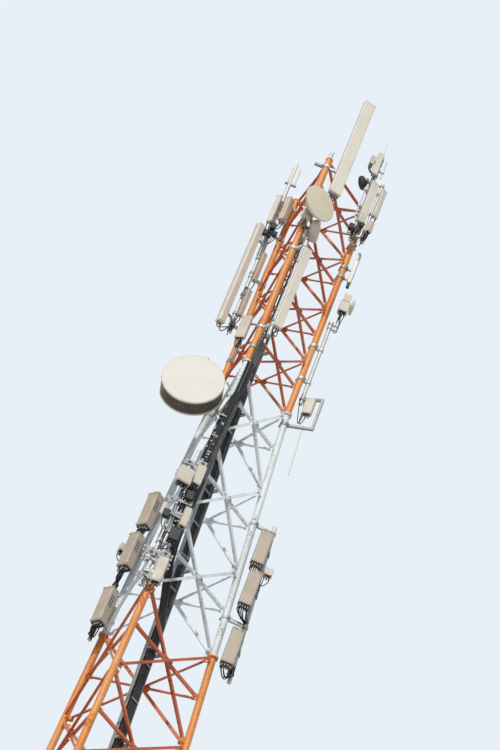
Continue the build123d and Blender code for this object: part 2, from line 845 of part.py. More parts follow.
def standoff_arms(posts):
    """Arms from the legs to the pipes, between the gusset plates, and from pipe to pipe."""
    arms = []
    for leg, name, heights in arm_rows:
        arms += [link(leg_post(leg, above(z)), posts[name], above(z)) for z in heights]
    for first, second, heights in pipe_arm_rows:
        arms += [link(posts[first], posts[second], above(z)) for z in heights]
    return arms


def rod_group(post):
    """Plate on a pipe's top and three rods that stand on it."""
    length, width, thickness = rod_plate_size
    along = outward(rod_plate_azimuth)
    middle = post.end + along * rod_plate_shift
    plate = Pos(middle.X, middle.Y, middle.Z + thickness / 2) * Rot(0, 0, rod_plate_azimuth)
    rods = []
    for shift, height, diameter in rod_rows:
        foot = post.end + along * shift + Vector(0, 0, thickness)
        rods.append(rod(foot, foot + Vector(0, 0, height), diameter))
    return plate * Box(length, width, thickness), rods


def build_posts():
    posts = {name: post_beside(*row) for name, row in post_rows.items()}
    posts["top rod"] = post_beside(*whip_rows["top rod"])
    leg, dx, dy, low, diameter = frame_stub
    high = frame_top_z - frame_bar / 2
    posts["frame stub"] = post_beside(leg, dx, dy, low, high, diameter)
    return posts


def build_drum():
    """Save the drum and its cover; give its post, its arms and its hub bracket."""
    dx, dy, height = drum_from_left_leg
    centre = beside_leg("left", dx, dy, height)
    shroud, cover = drum_antenna(centre)
    save("drum_antenna", [shroud])
    save("drum_antenna_cover", [cover])
    reach = drum_depth + drum_back + drum_hub_length
    axis = centre - outward(drum_azimuth) * (reach + drum_post_diameter / 2 + drum_post_gap)
    low = Vector(axis.X, axis.Y, above(drum_post_low))
    high = Vector(axis.X, axis.Y, above(drum_post_high))
    post = Post(low, high, drum_post_diameter)
    arms = [link(post, leg_post("left", above(z)), above(z), drum_arm_size) for z in drum_arm_heights]
    spread = drum_hub_radius * drum_collar_reach
    holder = hub_bracket(post, centre, drum_azimuth, reach, (centre.Z - spread, centre.Z + spread))
    return post, arms, holder


def build_round_antennas(posts, flank_unit):
    """Save the round antennas and their covers; give their hub brackets."""
    dishes = []
    covers = []
    holders = []
    for name, row in round_rows.items():
        leg, dx, dy, height, azimuth, radius, rim, back, hub_radius, hub_length, collars = row
        centre = beside_leg(leg, dx, dy, height)
        dish, cover = round_antenna(centre, azimuth, radius, rim, back, hub_radius, hub_length)
        dishes.append(dish)
        covers.append(cover)
        post = posts[rear_antenna_pipe] if name == "rear" else leg_post(leg, centre.Z)
        heights = [above(z) for z in collars]
        holders.append(hub_bracket(post, centre, azimuth, rim + back + hub_length, heights))
    reach = flank_unit.width / 2 + flank_rim + flank_back + flank_hub_length
    place = flank_unit.centre + flank_unit.sideways * reach
    centre = Vector(place.X, place.Y, above(flank_height))
    dish, cover = round_antenna(centre, flank_unit.azimuth + 90, flank_radius, flank_rim, flank_back,
                                flank_hub_radius, flank_hub_length)
    save("round_antennas", dishes + [dish])
    save("round_antenna_covers", covers + [cover])
    return holders


def build_housings(housings):
    thin_panel = Housing(leg_post("right", above(thin_panel_low)), thin_panel_low, thin_panel_high,
                         thin_panel_azimuth, *thin_panel_size, thin_panel_gap, 0.0, thin_panel_radius)
    rod_plate, rods = rod_group(housings["long panel"].post)
    for name, members in housing_groups.items():
        extra = [thin_panel.body()] if name == "panel_antennas_upper" else []
        save(name, [housings[member].body() for member in members] + extra)
    for name, groups in bracket_groups.items():
        shapes = []
        for member in [member for group in groups for member in housing_groups[group]]:
            shapes += housings[member].brackets(bracket_heights.get(member))
        if name == "panel_brackets":
            shapes += thin_panel.brackets(thin_panel_collars) + [rod_plate]
        save(name, shapes)
    return rods


def build_equipment():
    posts = build_posts()
    housings = {name: Housing(posts[row[0]], *row[1:]) for name, row in housing_rows.items()}
    whips = {name: post_beside(*row) for name, row in whip_rows.items()}
    drum_post, drum_arms, drum_holder = build_drum()
    holders = build_round_antennas(posts, housings["pole unit low"])
    save("antenna_hub_brackets", holders + [drum_holder])
    rods = build_housings(housings)
    save("whip_antennas", [whip.solid() for whip in whips.values()] + rods)
    pipes = [post for name, post in posts.items() if name not in whip_rows]
    save("mounting_pipes", [post.solid() for post in pipes + [drum_post]])
    save("standoff_arms", standoff_arms(posts) + drum_arms)
    save("side_frame", [side_frame(posts["right"], whips["frame whip"])])
    upper_low = taper_height - ladder_rail_depth / 2
    stretches = [ladder_part(ladder_low, taper_height), ladder_part(upper_low, ladder_top)]
    save("cable_ladder", [fuse(stretches + ladder_cleats())])
    save("cable_hangers", [leg_hanger(height) for height in hanger_heights])
    save("feeder_cables", feeder_cables())
    save("leg_cables", leg_cables())


os.makedirs("parts", exist_ok=True)
build_tower()
build_equipment()
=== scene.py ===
import bmesh
import bpy
import json
import random
from collections import namedtuple
from copy import copy
from math import atan2, cos, degrees, pi, radians, sin, sqrt
from mathutils import Matrix, Vector

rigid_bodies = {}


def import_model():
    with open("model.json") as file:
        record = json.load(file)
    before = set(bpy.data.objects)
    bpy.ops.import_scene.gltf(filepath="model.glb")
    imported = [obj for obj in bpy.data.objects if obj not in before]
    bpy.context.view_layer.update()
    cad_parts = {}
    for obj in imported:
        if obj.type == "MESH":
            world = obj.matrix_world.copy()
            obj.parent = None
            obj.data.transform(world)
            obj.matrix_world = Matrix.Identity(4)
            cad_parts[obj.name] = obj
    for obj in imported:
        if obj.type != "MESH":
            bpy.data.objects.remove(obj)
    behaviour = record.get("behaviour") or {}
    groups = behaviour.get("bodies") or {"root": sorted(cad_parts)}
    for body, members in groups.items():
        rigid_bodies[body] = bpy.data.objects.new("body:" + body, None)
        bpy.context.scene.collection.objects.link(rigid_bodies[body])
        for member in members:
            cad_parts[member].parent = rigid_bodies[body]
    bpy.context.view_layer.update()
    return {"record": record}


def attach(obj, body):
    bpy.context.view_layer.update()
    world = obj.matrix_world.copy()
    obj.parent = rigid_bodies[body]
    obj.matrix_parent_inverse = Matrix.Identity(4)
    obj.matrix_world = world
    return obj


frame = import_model()


# Camera: a long lens near the ground, looking up and turned on its axis
camera_place = Vector((9.0977, -26.3512, 1.6009))
camera_forward = Vector((-0.22842813, 0.71093005, 0.66513085))
camera_roll = radians(22.0247)
focal_pixels = 2738.75
image_height = 750
sensor_height = 36.0


def make_camera():
    data = bpy.data.cameras.new("camera")
    data.sensor_fit = "VERTICAL"
    data.sensor_height = sensor_height
    data.lens = focal_pixels * sensor_height / image_height
    data.clip_end = 200.0
    right = camera_forward.cross(up).normalized()
    over = right.cross(camera_forward).normalized()
    rolled_right = right * cos(camera_roll) + over * sin(camera_roll)
    rolled_up = over * cos(camera_roll) - right * sin(camera_roll)
    turn = Matrix((rolled_right, rolled_up, -camera_forward)).transposed()
    camera = bpy.data.objects.new("camera", data)
    camera.matrix_world = Matrix.Translation(camera_place) @ turn.to_4x4()
    bpy.context.scene.collection.objects.link(camera)
    bpy.context.scene.camera = camera


# Light: a sun 40 degrees high over the camera's left shoulder, and an even pale world
sun_strength = 2.3
sun_from = Vector((-0.027, -0.766, 0.643))
sun_spread = radians(4.0)
sun_colour = (1.0, 0.96, 0.9)
world_light = 0.31
world_colour = (0.9, 0.94, 1.0, 1.0)
backdrop_colour = (0.8, 0.87, 0.93, 1.0)
floor_half = 150.0
floor_colour = (0.72, 0.74, 0.76, 1.0)


def make_sun():
    data = bpy.data.lights.new("sun", "SUN")
    data.energy = sun_strength
    data.angle = sun_spread
    data.color = sun_colour
    sun = bpy.data.objects.new("sun", data)
    sun.rotation_euler = sun_from.to_track_quat("Z", "Y").to_euler()
    bpy.context.scene.collection.objects.link(sun)


def make_world():
    """Even light; the camera and shiny surfaces see a brighter backdrop."""
    world = bpy.data.worlds.new("world")
    world.use_nodes = True
    bpy.context.scene.world = world
    nodes = world.node_tree.nodes
    links = world.node_tree.links
    nodes.clear()
    mix = nodes.new("ShaderNodeMixShader")
    for socket, colour, strength in ((1, world_colour, world_light), (2, backdrop_colour, 1.0)):
        background = nodes.new("ShaderNodeBackground")
        background.inputs["Color"].default_value = colour
        background.inputs["Strength"].default_value = strength
        links.new(background.outputs[0], mix.inputs[socket])
    path = nodes.new("ShaderNodeLightPath")
    either = nodes.new("ShaderNodeMath")
    either.operation = "MAXIMUM"
    output = nodes.new("ShaderNodeOutputWorld")
    links.new(path.outputs["Is Camera Ray"], either.inputs[0])
    links.new(path.outputs["Is Glossy Ray"], either.inputs[1])
    links.new(either.outputs[0], mix.inputs["Fac"])
    links.new(mix.outputs[0], output.inputs["Surface"])


def make_floor():
    """Plain ground just under the tower."""
    mesh = bpy.data.meshes.new("floor")
    corners = [(x * floor_half, y * floor_half, -0.01) for x, y in ((-1, -1), (1, -1), (1, 1), (-1, 1))]
    mesh.from_pydata(corners, [], [(0, 1, 2, 3)])
    floor = bpy.data.objects.new("floor", mesh)
    bpy.context.scene.collection.objects.link(floor)
    material = bpy.data.materials.new("floor")
    material.use_nodes = True
    shader = material.node_tree.nodes["Principled BSDF"]
    shader.inputs["Base Color"].default_value = floor_colour
    shader.inputs["Roughness"].default_value = 0.9
    mesh.materials.append(material)


# Shape of the tower, in metres, that the small pieces are placed by
base_width = 3.9
top_width = 1.12
top_of_taper = 28.0
axis_offset = base_width / sqrt(3)
leg_angles = {"near": -90.0, "right": 30.0, "left": 150.0}
leg_pairs = (("near", "right"), ("right", "left"), ("left", "near"))
gusset_half = 0.004
base_thickness = 0.03
flange_thickness = 0.02

# Sections from the ground up, with the diameter of their tubes and the width of their angles
Section = namedtuple("Section", "height bays tube angle")
tower_sections = (2 * [Section(4.75, 1, 0.1397, 0.065)] + 2 * [Section(4.75, 2, 0.1143, 0.055)]
                  + 2 * [Section(4.5, 3, 0.1016, 0.04)] + [Section(4.55, 4, 0.1016, 0.034)])

# Pipes that carry equipment: dx and dy from the leg beside them, and the heights of their ends
Post = namedtuple("Post", "leg dx dy radius low high")
posts = {
    "front": Post("near", 0.186, -0.103, 0.03, 28.5, 30.56),
    "top": Post("near", 0.226, 0.066, 0.03, 31.6, 34.03),
    "left": Post("left", -0.17, -0.148, 0.03, 29.35, 32.74),
    "flat box": Post("left", 0.165, -0.408, 0.021, 28.78, 29.34),
    "right": Post("right", 0.118, 0.052, 0.03, 28.3, 30.08),
    "pole unit": Post("right", 0.203, 0.079, 0.021, 29.9, 30.64),
    "corner": Post("right", -0.002, -0.2, 0.03, 31.65, 33.68),
    "outer": Post("right", 0.155, -0.16, 0.025, 31.7, 33.05),
    "left radios": Post("left", -0.137, -0.065, 0.03, 23.33, 26.08),
    "right radios": Post("right", 0.284, 0.123, 0.03, 23.23, 26.00),
    "centre": Post("near", -0.06, -0.17, 0.03, 23.27, 25.9),
}

# The dish at the back, in painted shade: its middle from the right leg, its height and the reach of its
# painted shade
rear_dish_offset = Vector((-0.158, -0.251, 0))
rear_dish_height = 32.93
rear_dish_shade_reach = (0.2, 0.24)

# Directions: up, and across and out of the equipment on the near leg
up = Vector((0, 0, 1))
near_side = Vector((0.952, 0.306, 0))
near_front = Vector((0.306, -0.952, 0))


def face_width(z):
    """Distance between the legs' middles at a height."""
    return base_width + (top_width - base_width) * min(z, top_of_taper) / top_of_taper


def near_step(along, out):
    """Step along and out of the near leg's equipment."""
    return near_side * along + near_front * out


def leg_point(leg, z):
    radius = face_width(z) / sqrt(3)
    angle = radians(leg_angles[leg])
    return Vector((radius * cos(angle), radius * sin(angle) + axis_offset, z))


def leg_radius(z):
    top = 0.0
    for section in tower_sections:
        top += section.height
        if z < top:
            break
    return section.tube / 2


def above(height):
    """Height in the frame from one that counts from the top of the taper."""
    return top_of_taper + height


def post_point(name, z):
    post = posts[name]
    return leg_point(post.leg, z) + Vector((post.dx, post.dy, 0))


def outward(azimuth):
    """Level direction at an angle in degrees from the x axis."""
    return Vector((cos(radians(azimuth)), sin(radians(azimuth)), 0))


class Paint:
    """Small helper that builds one node material."""

    def __init__(self, name, roughness, metallic=0.0):
        self.material = bpy.data.materials.new(name)
        self.material.use_nodes = True
        self.tree = self.material.node_tree
        self.shader = self.tree.nodes["Principled BSDF"]
        self.shader.inputs["Roughness"].default_value = roughness
        self.shader.inputs["Metallic"].default_value = metallic
        self.coords = self.node("TexCoord").outputs["Object"]

    def feed(self, value, socket):
        """Set a socket to a number or a colour, or link an output to it."""
        if isinstance(value, (int, float, tuple)):
            socket.default_value = value
        else:
            self.tree.links.new(value, socket)

    def node(self, kind, **values):
        """New node with its inputs fed; From_Min stands for the input From Min."""
        node = self.tree.nodes.new("ShaderNode" + kind)
        for name, value in values.items():
            self.feed(value, node.inputs[name.replace("_", " ")])
        return node

    def noise(self, scale, detail=4.0, roughness=0.6, stretch=(1.0, 1.0, 1.0)):
        place = self.node("Mapping", Vector=self.coords, Scale=stretch).outputs["Vector"]
        node = self.node("TexNoise", Vector=place, Scale=scale, Detail=detail, Roughness=roughness)
        return node.outputs["Fac"]

    def ramp(self, factor, low, high, invert=False):
        """Soft step from 0 to 1 between two values, or from 1 to 0."""
        first, last = (1.0, 0.0) if invert else (0.0, 1.0)
        node = self.node("MapRange", Value=factor, From_Min=low, From_Max=high, To_Min=first, To_Max=last)
        node.interpolation_type = "SMOOTHSTEP"
        return node.outputs["Result"]

    def patches(self, low, high, scale, **noise):
        """Noise as soft-edged patches; higher bounds cover less."""
        return self.ramp(self.noise(scale, **noise), low, high)

    def maths(self, operation, first, second):
        node = self.node("Math")
        node.operation = operation
        self.feed(first, node.inputs[0])
        self.feed(second, node.inputs[1])
        return node.outputs[0]

    def mix(self, factor, first, second, share=1.0):
        """Colour between two others, with the second by the factor times the share."""
        if share != 1.0:
            factor = self.maths("MULTIPLY", factor, share)
        node = self.node("Mix")
        node.data_type = "RGBA"
        # The node has sockets for every type: colours go in at 6 and 7, and come out at 2
        self.feed(factor, node.inputs[0])
        self.feed(first, node.inputs[6])
        self.feed(second, node.inputs[7])
        return node.outputs[2]

    def colour(self, output):
        self.feed(output, self.shader.inputs["Base Color"])

    def rough(self, factor, low, high):
        node = self.node("MapRange", Value=factor, To_Min=low, To_Max=high)
        self.feed(node.outputs["Result"], self.shader.inputs["Roughness"])

    def bump(self, height, distance, strength):
        node = self.node("Bump", Height=height, Distance=distance, Strength=strength)
        self.feed(node.outputs["Normal"], self.shader.inputs["Normal"])


def srgb(*colour):
    """Screen colour out of 255 as the linear values that shaders take."""
    shares = [value / 255 for value in colour]
    linear = [share / 12.92 if share <= 0.04045 else ((share + 0.055) / 1.055) ** 2.4 for share in shares]
    return (*linear, 1.0)


def run_down(length):
    """Stretch of a noise for streaks that run down; smaller is longer."""
    return (1.0, 1.0, length)


def worn_paint(name, fresh, faded, rust_amount, streak_share):
    """Old paint on steel: patchy fading, run-down streaks and rust that breaks through."""
    stain = srgb(112, 66, 44)
    dark_rust = srgb(78, 40, 26)
    light_rust = srgb(140, 76, 42)
    paint = Paint(name, roughness=0.55)
    colour = paint.mix(paint.patches(0.35, 0.7, scale=1.3, detail=5.0), srgb(*fresh), srgb(*faded))
    streaks = paint.patches(0.5, 0.76, scale=14.0, stretch=run_down(0.12))
    colour = paint.mix(streaks, colour, stain, streak_share)
    areas = paint.patches(0.5 - rust_amount, 0.66 - rust_amount, scale=2.4, detail=3.0)
    flakes = paint.patches(0.5, 0.6, scale=30.0, detail=6.0, roughness=0.7)
    spots = paint.patches(0.64 - rust_amount, 0.72 - rust_amount, scale=44.0, detail=6.0, roughness=0.7)
    rust = paint.maths("MAXIMUM", paint.maths("MULTIPLY", areas, flakes), spots)
    tone = paint.mix(paint.noise(90.0, detail=3.0), dark_rust, light_rust)
    paint.colour(paint.mix(rust, colour, tone, 0.8))
    paint.rough(rust, 0.5, 0.9)
    paint.bump(rust, distance=0.001, strength=0.6)
    return paint.material


def galvanised(name, base):
    """Dull zinc coat with its faint crystal patches, white bloom and grime."""
    bloom_colour = srgb(188, 186, 178)
    grime_colour = srgb(96, 78, 62)
    light = srgb(*(value + 20 for value in base))
    dark = srgb(*(value - 18 for value in base))
    paint = Paint(name, roughness=0.5, metallic=0.25)
    crystals = paint.node("TexVoronoi", Vector=paint.coords, Scale=110.0)
    shade = paint.ramp(crystals.outputs["Distance"], 0.0, 1.0)
    colour = paint.mix(shade, light, dark)
    bloom = paint.patches(0.5, 0.75, scale=9.0, detail=5.0)
    colour = paint.mix(bloom, colour, bloom_colour, 0.5)
    grime = paint.patches(0.58, 0.8, scale=22.0, detail=5.0, stretch=run_down(0.2))
    paint.colour(paint.mix(grime, colour, grime_colour, 0.6))
    paint.rough(shade, 0.42, 0.62)
    return paint.material


def plastic(name, base, grime, roughness):
    """Sun-bleached housing: fine texture, dirt that runs down, grubby patches."""
    paint = Paint(name, roughness=roughness)
    streaks = paint.patches(0.5, 0.82, scale=26.0, detail=5.0, stretch=run_down(0.06))
    patches = paint.patches(0.4, 0.75, scale=3.0)
    dirt = paint.maths("MULTIPLY", streaks, patches)
    colour = paint.mix(patches, srgb(*base), srgb(*grime), 0.25)
    paint.colour(paint.mix(dirt, colour, srgb(*grime), 0.5))
    paint.rough(patches, roughness, roughness + 0.15)
    paint.bump(paint.noise(400.0, detail=2.0), distance=0.0003, strength=0.5)
    return paint.material


def cable_jacket(name):
    """Black rubber with grey dust."""
    paint = Paint(name, roughness=0.5)
    dust = paint.patches(0.45, 0.8, scale=12.0, stretch=run_down(0.2))
    paint.colour(paint.mix(dust, srgb(15, 15, 16), srgb(74, 70, 62), 0.35))
    paint.rough(dust, 0.4, 0.75)
    return paint.material


def drum_side_in_painted_shade(name):
    """Side wall of the drum in painted shade, stained in streaks from front to back."""
    pale_line = srgb(150, 134, 112)
    dark_line = srgb(36, 34, 32)
    paint = Paint(name, roughness=0.6)
    tone = paint.patches(0.35, 0.7, scale=2.6, detail=3.0)
    # Both dark colours are painted shade of the side wall; the pale and dark streaks over them are stains
    colour = paint.mix(tone, srgb(70, 64, 60), srgb(98, 76, 58))
    pale = paint.patches(0.52, 0.75, scale=46.0, detail=3.0, stretch=(1.0, 0.05, 1.0))
    colour = paint.mix(pale, colour, pale_line, 0.55)
    dark = paint.patches(0.55, 0.8, scale=30.0, stretch=(1.0, 0.08, 1.0))
    paint.colour(paint.mix(dark, colour, dark_line, 0.6))
    paint.rough(tone, 0.5, 0.75)
    return paint.material


def dish_metal_with_painted_shade(name):
    """Painted dish bodies; the one at the back of the tower is in painted shade."""
    paint = Paint(name, roughness=0.5)
    patches = paint.patches(0.4, 0.75, scale=4.0)
    colour = paint.mix(patches, srgb(224, 216, 202), srgb(160, 144, 120), 0.35)
    distance = paint.node("VectorMath")
    distance.operation = "DISTANCE"
    paint.feed(paint.coords, distance.inputs[0])
    distance.inputs[1].default_value = leg_point("right", rear_dish_height) + rear_dish_offset
    near = paint.ramp(distance.outputs["Value"], *rear_dish_shade_reach, invert=True)
    # Dark grey near the dish at the back is painted shade
    paint.colour(paint.mix(near, colour, srgb(58, 58, 52)))
    paint.rough(patches, 0.42, 0.6)
    return paint.material


# Paints: fresh and faded colour, how far rust has spread, and how strong the streaks are
paints = {
    "leg_orange": ((236, 144, 62), (236, 164, 98), -0.02, 0.55),
    "leg_white": ((234, 242, 245), (218, 225, 227), -0.03, 0.3),
    "bracing_orange": ((208, 96, 50), (222, 134, 96), 0.02, 0.55),
    "bracing_white": ((242, 247, 250), (228, 234, 236), -0.01, 0.3),
}
# Plastics: colour, colour of the grime, and roughness
plastics = {
    "radome": ((236, 230, 216), (178, 164, 142), 0.45),
    "radome_beige": ((216, 198, 180), (148, 126, 106), 0.45),
    "radio_housing": ((194, 180, 164), (128, 112, 94), 0.5),
    "equipment_box": ((224, 216, 200), (150, 136, 116), 0.5),
    "drum_cover": ((240, 237, 228), (232, 226, 214), 0.7),
    "dish_cover": ((236, 226, 200), (214, 200, 170), 0.6),
}
zinc = {"galvanised": ((156, 158, 156),), "bright_zinc": ((200, 204, 206),)}
materials = {"antenna_metal": dish_metal_with_painted_shade("antenna_metal"), "drum_wall": drum_side_in_painted_shade("drum_wall"),
             "cable_black": cable_jacket("cable_black")}
for recipe, table in ((worn_paint, paints), (plastic, plastics), (galvanised, zinc)):
    for name, values in table.items():
        materials[name] = recipe(name, *values)

# Nodes whose look differs from the rest of their slot
own_materials = {"drum_antenna_cover": "drum_cover", "round_antenna_covers": "dish_cover",
                 "mounting_pipes": "bright_zinc", "standoff_arms": "bright_zinc"}


def dress_nodes():
    """Give every CAD node the material of its slot, or its own."""
    for part in frame["record"]["subparts"]:
        slots = bpy.data.objects[part["node"]].data.materials
        slots.clear()
        slots.append(materials[own_materials.get(part["node"], part["material_slot"])])


def smooth_path(points, steps):
    """Points along a soft curve through the given ones."""
    ends = [points[0] * 2 - points[1]] + list(points) + [points[-1] * 2 - points[-2]]
    path = []
    for number in range(1, len(ends) - 2):
        before, start, end, after = ends[number - 1:number + 3]
        for step in range(steps):
            share = step / steps
            path.append(0.5 * (2 * start + (end - before) * share
                               + (2 * before - 5 * start + 4 * end - after) * share ** 2
                               + (3 * start - before - 3 * end + after) * share ** 3))
    return path + [points[-1]]


smallest_radius = 0.0002
crease_angle = radians(40)
# Parts of a bolt in sizes of its washer: start, profile and number of sides
bolt_parts = ((0.0, ((1.0, 0.0), (1.0, 0.22)), 9), (0.2, ((0.78, 0.0), (0.78, 0.5), (0.62, 0.62)), 6),
              (0.8, ((0.4, 0.0), (0.4, 0.35)), 6))


def circle_turns(sides):
    return [2 * pi * side / sides for side in range(sides)]


class Maker:
    """Collects solids of one material in one mesh."""

    def __init__(self):
        self.points = []
        self.faces = []

    def loft(self, rings, hoop=False):
        """Skin through rings of equal count, capped, or joined end to end as a hoop."""
        first = len(self.points)
        count = len(rings[0])
        for ring in rings:
            self.points += [tuple(point) for point in ring]
        for level in range(len(rings) if hoop else len(rings) - 1):
            low = first + level * count
            high = first + (level + 1) % len(rings) * count
            for number in range(count):
                after = (number + 1) % count
                self.faces.append((low + number, low + after, high + after, high + number))
        if hoop:
            return
        self.faces.append(tuple(range(first + count - 1, first - 1, -1)))
        last = first + (len(rings) - 1) * count
        self.faces.append(tuple(range(last, last + count)))

    def tube(self, path, radius, sides):
        """Round bar along a path of points."""
        rings = []
        across = (path[1] - path[0]).orthogonal().normalized()
        for number, point in enumerate(path):
            before = path[max(number - 1, 0)]
            after = path[min(number + 1, len(path) - 1)]
            along = (after - before).normalized()
            across = (across - along * across.dot(along)).normalized()
            other = along.cross(across)
            rings.append([point + across * (radius * cos(turn)) + other * (radius * sin(turn))
                          for turn in circle_turns(sides)])
        self.loft(rings)

    def cable(self, points, radius, steps, sides):
        self.tube(smooth_path(points, steps), radius, sides)

    def turned(self, place, axis, profile, sides, hoop=False):
        """Solid of revolution, or hoop: its profile in (radius, distance along the axis) pairs."""
        across = axis.orthogonal().normalized()
        other = axis.cross(across)
        rings = []
        for radius, along in profile:
            radius = max(radius, smallest_radius)
            rings.append([place + axis * along + (across * cos(turn) + other * sin(turn)) * radius
                          for turn in circle_turns(sides)])
        self.loft(rings, hoop)

    def block(self, centre, x_dir, y_dir, size, edge=0.002):
        """Box with broken edges; size runs along x_dir, y_dir and their normal."""
        z_dir = x_dir.cross(y_dir)
        half = [value / 2 for value in size]
        edge = min([edge] + [value * 0.45 for value in half])
        rings = []
        for height, inset in ((-half[2], edge), (-half[2] + edge, 0), (half[2] - edge, 0), (half[2], edge)):
            a = half[0] - inset
            b = half[1] - inset
            corners = ((a, b - edge), (a - edge, b), (edge - a, b), (-a, b - edge),
                       (-a, edge - b), (edge - a, -b), (a - edge, -b), (a, edge - b))
            rings.append([centre + x_dir * x + y_dir * y + z_dir * height for x, y in corners])
        self.loft(rings)

    def bar(self, start, end, width, depth, side, edge=0.002):
        """Flat bar between two points; its width lies along side."""
        along = (end - start).normalized()
        side = (side - along * side.dot(along)).normalized()
        self.block((start + end) / 2, side, along.cross(side), (width, depth, (end - start).length), edge)

    def bolt(self, place, axis, size):
        """Washer, hexagon head and the end of the thread; size is the washer's radius."""
        for start, profile, sides in bolt_parts:
            sized = [(radius * size, along * size) for radius, along in profile]
            self.turned(place + axis * (start * size), axis, sized, sides)

    def finish(self, name, slot, smooth=False):
        """Make the piece from what was collected."""
        mesh = bpy.data.meshes.new(name)
        mesh.from_pydata(self.points, [], self.faces)
        if smooth:
            mesh.shade_smooth()
            mesh.set_sharp_from_angle(angle=crease_angle)
        mesh.materials.append(materials[slot])
        piece = bpy.data.objects.new(name, mesh)
        bpy.context.scene.collection.objects.link(piece)
        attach(piece, "root")


class Side:
    """One flat side over one section: x along it, y up it, normal outward."""

    def __init__(self, index, legs):
        height, bays, self.tube, self.angle = tower_sections[index]
        self.start = sum(section.height for section in tower_sections[:index])
        end = self.start + height
        low = (leg_point(legs[0], self.start) + leg_point(legs[1], self.start)) / 2
        high = (leg_point(legs[0], end) + leg_point(legs[1], end)) / 2
        self.x_dir = (leg_point(legs[1], self.start) - leg_point(legs[0], self.start)).normalized()
        self.y_dir = (high - low).normalized()
        self.normal = self.x_dir.cross(self.y_dir).normalized()
        self.slope = (high - low).length / height
        self.levels = [number * (height * self.slope / bays) for number in range(bays + 1)]
        self.origin = low

    def point(self, x, y, out):
        return self.origin + self.x_dir * x + self.y_dir * y + self.normal * out

    def half_width(self, y):
        return face_width(self.start + y / self.slope) / 2

# Bolts of the lattice: clearances in metres, and places along the angles in widths of an angle
plate_clearance = 0.006
tube_clearance = 0.012
lattice_bolt_size = 0.01
bolt_growth = 0.06
brace_end_steps = (0.7, 1.5)
level_end_steps = (0.5, 1.3)
middle_step = 1.76


def bay_bolts(maker, side, low, high):
    """Bolts at the ends of a bay's braces, and at the ends and middle of its horizontal."""
    inner = (gusset_half + side.angle) * sqrt(3) + plate_clearance
    outer = side.tube / 2 + tube_clearance
    size = lattice_bolt_size + side.angle * bolt_growth
    thick = gusset_half + plate_clearance
    wide = side.half_width(low)
    narrow = side.half_width(high)
    middle = low + (high - low) * wide / (wide + narrow)
    rise = (high - low) / (wide + narrow)
    slant = sqrt(1 + rise ** 2)
    for x, y, sign, grow in ((-wide, low, 1, 1), (wide, low, -1, 1),
                             (narrow, high, -1, -1), (-narrow, high, 1, -1)):
        # One brace lies on the outer face of the gussets, the other on the inner face
        outside = (x < 0) == (y == low)
        clear = outer if outside else inner
        face = 1 if outside else -1
        for step in brace_end_steps:
            run = clear + side.angle * (0.5 * rise / slant + step / slant)
            spot = side.point(x + sign * run, y + grow * run * rise, face * thick)
            maker.bolt(spot, side.normal * face, size)
    for sign in (-1, 1):
        for step in level_end_steps:
            x = sign * (side.half_width(middle) - inner - side.angle * step)
            maker.bolt(side.point(x, middle, -thick), -side.normal, size)
    for sign in (-1, 1):
        maker.bolt(side.point(sign * side.angle * middle_step, middle, thick), side.normal, size)
    for sign in (-1, 1):
        run = sign * side.angle
        maker.bolt(side.point(run / rise, middle + run, thick + 0.001), side.normal, size)


def lattice_bolts():
    """Bolts where the angles meet the gussets and the centre plates."""
    maker = Maker()
    for index in range(len(tower_sections)):
        for legs in leg_pairs:
            side = Side(index, legs)
            for low, high in zip(side.levels, side.levels[1:]):
                bay_bolts(maker, side, low, high)
    maker.finish("lattice_bolts", "galvanised")


# Bolts through the flanges, and the anchors and ribs of the feet
ring_count = 8
ring_gap = 0.01
ring_bolt_size = 0.0095
anchor_circle = 0.21
anchor_size = 0.028
thread_start = 0.05
anchor_thread = ((0.0125, 0.0), (0.0125, 0.07), (0.01, 0.074))
rib_middle = 0.085
rib_size = (0.07, 0.01)


def flange_bolts():
    """Rings of bolts through the leg flanges, and all that is on the feet."""
    bolts = Maker()
    ribs = Maker()
    top = 0.0
    for section in tower_sections[:-1]:
        top += section.height
        for leg in leg_angles:
            for number in range(ring_count):
                turn = number * 360 / ring_count + 22
                spot = leg_point(leg, top) + outward(turn) * (section.tube / 2 + ring_gap)
                for sign in (-1, 1):
                    bolts.bolt(spot + up * (sign * flange_thickness), up * sign, ring_bolt_size)
    foot_bolts(bolts, ribs)
    bolts.finish("flange_bolts", "galvanised")
    ribs.finish("foot_ribs", "galvanised")


def foot_bolts(bolts, ribs):
    """Anchor bolts with long threads on the base plates, and ribs between plate and leg."""
    for leg in leg_angles:
        foot = leg_point(leg, 0)
        for number in range(4):
            anchor = foot + outward(45 + number * 90) * anchor_circle
            bolts.bolt(anchor + up * base_thickness, up, anchor_size)
            bolts.turned(anchor + up * thread_start, up, anchor_thread, 12)
            along = outward(number * 90)
            middle = foot + up * rib_middle
            ribs.bar(middle + along * 0.09, middle + along * 0.165, *rib_size, up)


# Collars on the legs: their heights from the top of the taper, and their lugs
leg_clamps = {
    "near": (0.72, 2.46, 3.72, 4.36, 3.2, 3.61, 3.005, -3.89, -2.7),
    "left": (1.5, 2.56, 3.59, 4.3, 0.85, -4.25, -2.0, -0.26, 0.195),
    "right": (0.75, 1.45, 3.72, 4.23, 3.0, 3.21, -3.815, -2.12, -0.2),
}
lug_reach = 0.023
lug_size = (0.03, 0.044, 0.01)
lug_half_gap = 0.01
lug_bolt_out = 0.015
lug_bolt_size = 0.009


def clamp_ears():
    """The two lugs and through bolts that close each collar on a leg."""
    lugs = Maker()
    for leg, heights in leg_clamps.items():
        away = outward(leg_angles[leg] + 30)
        across = up.cross(away)
        for height in heights:
            z = above(height)
            for sign in (-1, 1):
                lug = leg_point(leg, z) + across * (sign * (leg_radius(z) + lug_reach))
                for half in (-1, 1):
                    lugs.block(lug + away * (half * lug_half_gap), across, up, lug_size)
                for face in (1, -1):
                    lugs.bolt(lug + away * (face * lug_bolt_out), away * face, lug_bolt_size)
    lugs.finish("clamp_lugs", "galvanised")


